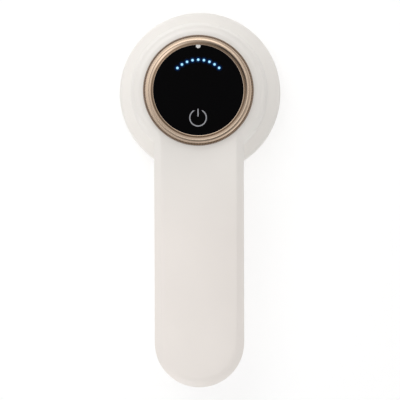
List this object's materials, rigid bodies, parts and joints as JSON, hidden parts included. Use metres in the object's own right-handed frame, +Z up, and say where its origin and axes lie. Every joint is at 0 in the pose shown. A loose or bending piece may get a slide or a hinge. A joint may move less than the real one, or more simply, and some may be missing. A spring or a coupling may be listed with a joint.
{
  "type": "anti-cellulite massager",
  "caption": "Cordless hand massager with a round spinning nub pad, straight handle, black display button and knurled speed dial.",
  "frame": {"origin": "on the spindle axis, level with the flat tips of the nubs that the massager stands on", "axes": "+Z up along the spindle towards the display, the handle runs along -Y, +X to the right as seen from above with the handle towards the viewer"},
  "size_m": [0.102, 0.2353, 0.076],
  "materials": {
    "upper_housing": "satin warm white moulding",
    "lower_housing": "satin warm white moulding",
    "housing_screws": "zinc plated screws",
    "screw_caps": "soft warm white plugs",
    "head_skirt": "satin warm white moulding",
    "base_plate": "satin warm white moulding",
    "base_screws": "zinc plated screws",
    "dial_washer": "slippery white washer",
    "dial_chassis": "black moulding",
    "chassis_screws": "zinc plated screws",
    "encoder_body": "black moulding",
    "switch_body": "black moulding",
    "display_board": "green board",
    "display_lamps": "small lamps",
    "display_board_screws": "zinc plated screws",
    "display_ribbon": "flat flexible strip",
    "motor_mount": "zinc plated plate",
    "mount_screws": "zinc plated screws",
    "motor_screws": "zinc plated screws",
    "motor_can": "drawn can",
    "motor_end_cap": "natural moulding",
    "motor_terminals": "tinned tabs",
    "motor_magnets": "ferrite",
    "motor_leads": "insulated leads",
    "lower_bush": "sintered bronze",
    "upper_bush": "sintered bronze",
    "cells": "sleeved steel cells",
    "cell_tray": "black moulding",
    "cell_links": "nickel strips",
    "cell_foam": "soft foam",
    "main_board": "green board",
    "main_board_screws": "zinc plated screws",
    "board_parts": "chips, coil, capacitors, sockets",
    "board_leads": "insulated leads",
    "charge_board": "green board",
    "charge_port": "plated socket",
    "port_trim": "bezel and soft seal",
    "speed_ring": "rose gold anodised, satin",
    "ring_carrier": "black moulding",
    "ring_gear": "natural acetal",
    "dial_clip": "spring steel",
    "encoder_pinion": "natural acetal",
    "display_glass": "black tinted, polished",
    "index_dot": "white inlay",
    "lens_carrier": "black moulding",
    "light_guide": "clear moulding",
    "switch_plunger": "red moulding",
    "spindle": "ground shaft",
    "spindle_gear": "natural acetal",
    "spindle_clip": "spring steel",
    "spindle_seal": "black seal",
    "drive_hub": "dark moulding",
    "hub_magnet": "ferrite",
    "hub_screw": "zinc plated screw",
    "armature": "laminated core with windings",
    "motor_shaft": "ground shaft",
    "motor_pinion": "cut brass",
    "pad_carrier": "warm white moulding",
    "pad_keeper": "plain steel ring",
    "nub_pad": "soft silicone"
  },
  "bodies": {
    "body": {"upper_housing": "upper_housing", "lower_housing": "lower_housing", "housing_screws": "housing_screws", "screw_caps": "screw_caps", "head_skirt": "head_skirt", "base_plate": "base_plate", "base_screws": "base_screws", "dial_washer": "dial_washer", "dial_chassis": "dial_chassis", "chassis_screws": "chassis_screws", "encoder_body": "encoder_body", "switch_body": "switch_body", "display_board": "display_board", "display_lamps": "display_lamps", "display_board_screws": "display_board_screws", "display_ribbon": "display_ribbon", "motor_mount": "motor_mount", "mount_screws": "mount_screws", "motor_screws": "motor_screws", "motor_can": "motor_can", "motor_end_cap": "motor_end_cap", "motor_terminals": "motor_terminals", "motor_magnets": "motor_magnets", "motor_leads": "motor_leads", "lower_bush": "lower_bush", "upper_bush": "upper_bush", "cells": "cells", "cell_tray": "cell_tray", "cell_links": "cell_links", "cell_foam": "cell_foam", "main_board": "main_board", "main_board_screws": "main_board_screws", "board_parts": "board_parts", "board_leads": "board_leads", "charge_board": "charge_board", "charge_port": "charge_port", "port_trim": "port_trim"},
    "dial": {"speed_ring": "speed_ring", "ring_carrier": "ring_carrier", "ring_gear": "ring_gear", "dial_clip": "dial_clip"},
    "encoder": {"encoder_pinion": "encoder_pinion"},
    "face_button": {"display_glass": "display_glass", "index_dot": "index_dot", "lens_carrier": "lens_carrier", "light_guide": "light_guide", "switch_plunger": "switch_plunger"},
    "spindle": {"spindle": "spindle", "spindle_gear": "spindle_gear", "spindle_clip": "spindle_clip", "spindle_seal": "spindle_seal", "drive_hub": "drive_hub", "hub_magnet": "hub_magnet", "hub_screw": "hub_screw"},
    "rotor": {"armature": "armature", "motor_shaft": "motor_shaft", "motor_pinion": "motor_pinion"},
    "massage_head": {"pad_carrier": "pad_carrier", "pad_keeper": "pad_keeper", "nub_pad": "nub_pad"}
  },
  "joints": [
    {"name": "dial_turn", "type": "hinge", "parent": "body", "child": "dial", "pos_m": [0, 0, 0.07], "axis": [0, 0, 1], "continuous": true},
    {"name": "encoder_turn", "type": "hinge", "parent": "body", "child": "encoder", "pos_m": [0, -0.0372, 0.064], "axis": [0, 0, 1], "continuous": true},
    {"name": "display_press", "type": "slide", "parent": "body", "child": "face_button", "axis": [0, 0, -1], "range_m": [0, 0.0005], "stiffness_N_per_m": 900, "springref_m": -0.001},
    {"name": "spindle_spin", "type": "hinge", "parent": "body", "child": "spindle", "pos_m": [0, 0, 0.025], "axis": [0, 0, 1], "continuous": true},
    {"name": "motor_spin", "type": "hinge", "parent": "body", "child": "rotor", "pos_m": [0, 0.0224, 0.04], "axis": [0, 0, 1], "continuous": true},
    {"name": "head_release", "type": "slide", "parent": "spindle", "child": "massage_head", "axis": [0, 0, -1], "range_m": [0, 0.02]}
  ],
  "couplings": [
    {"joint": "encoder_turn", "follows": "dial_turn", "ratio": -7.8571},
    {"joint": "motor_spin", "follows": "spindle_spin", "ratio": -3}
  ]
}
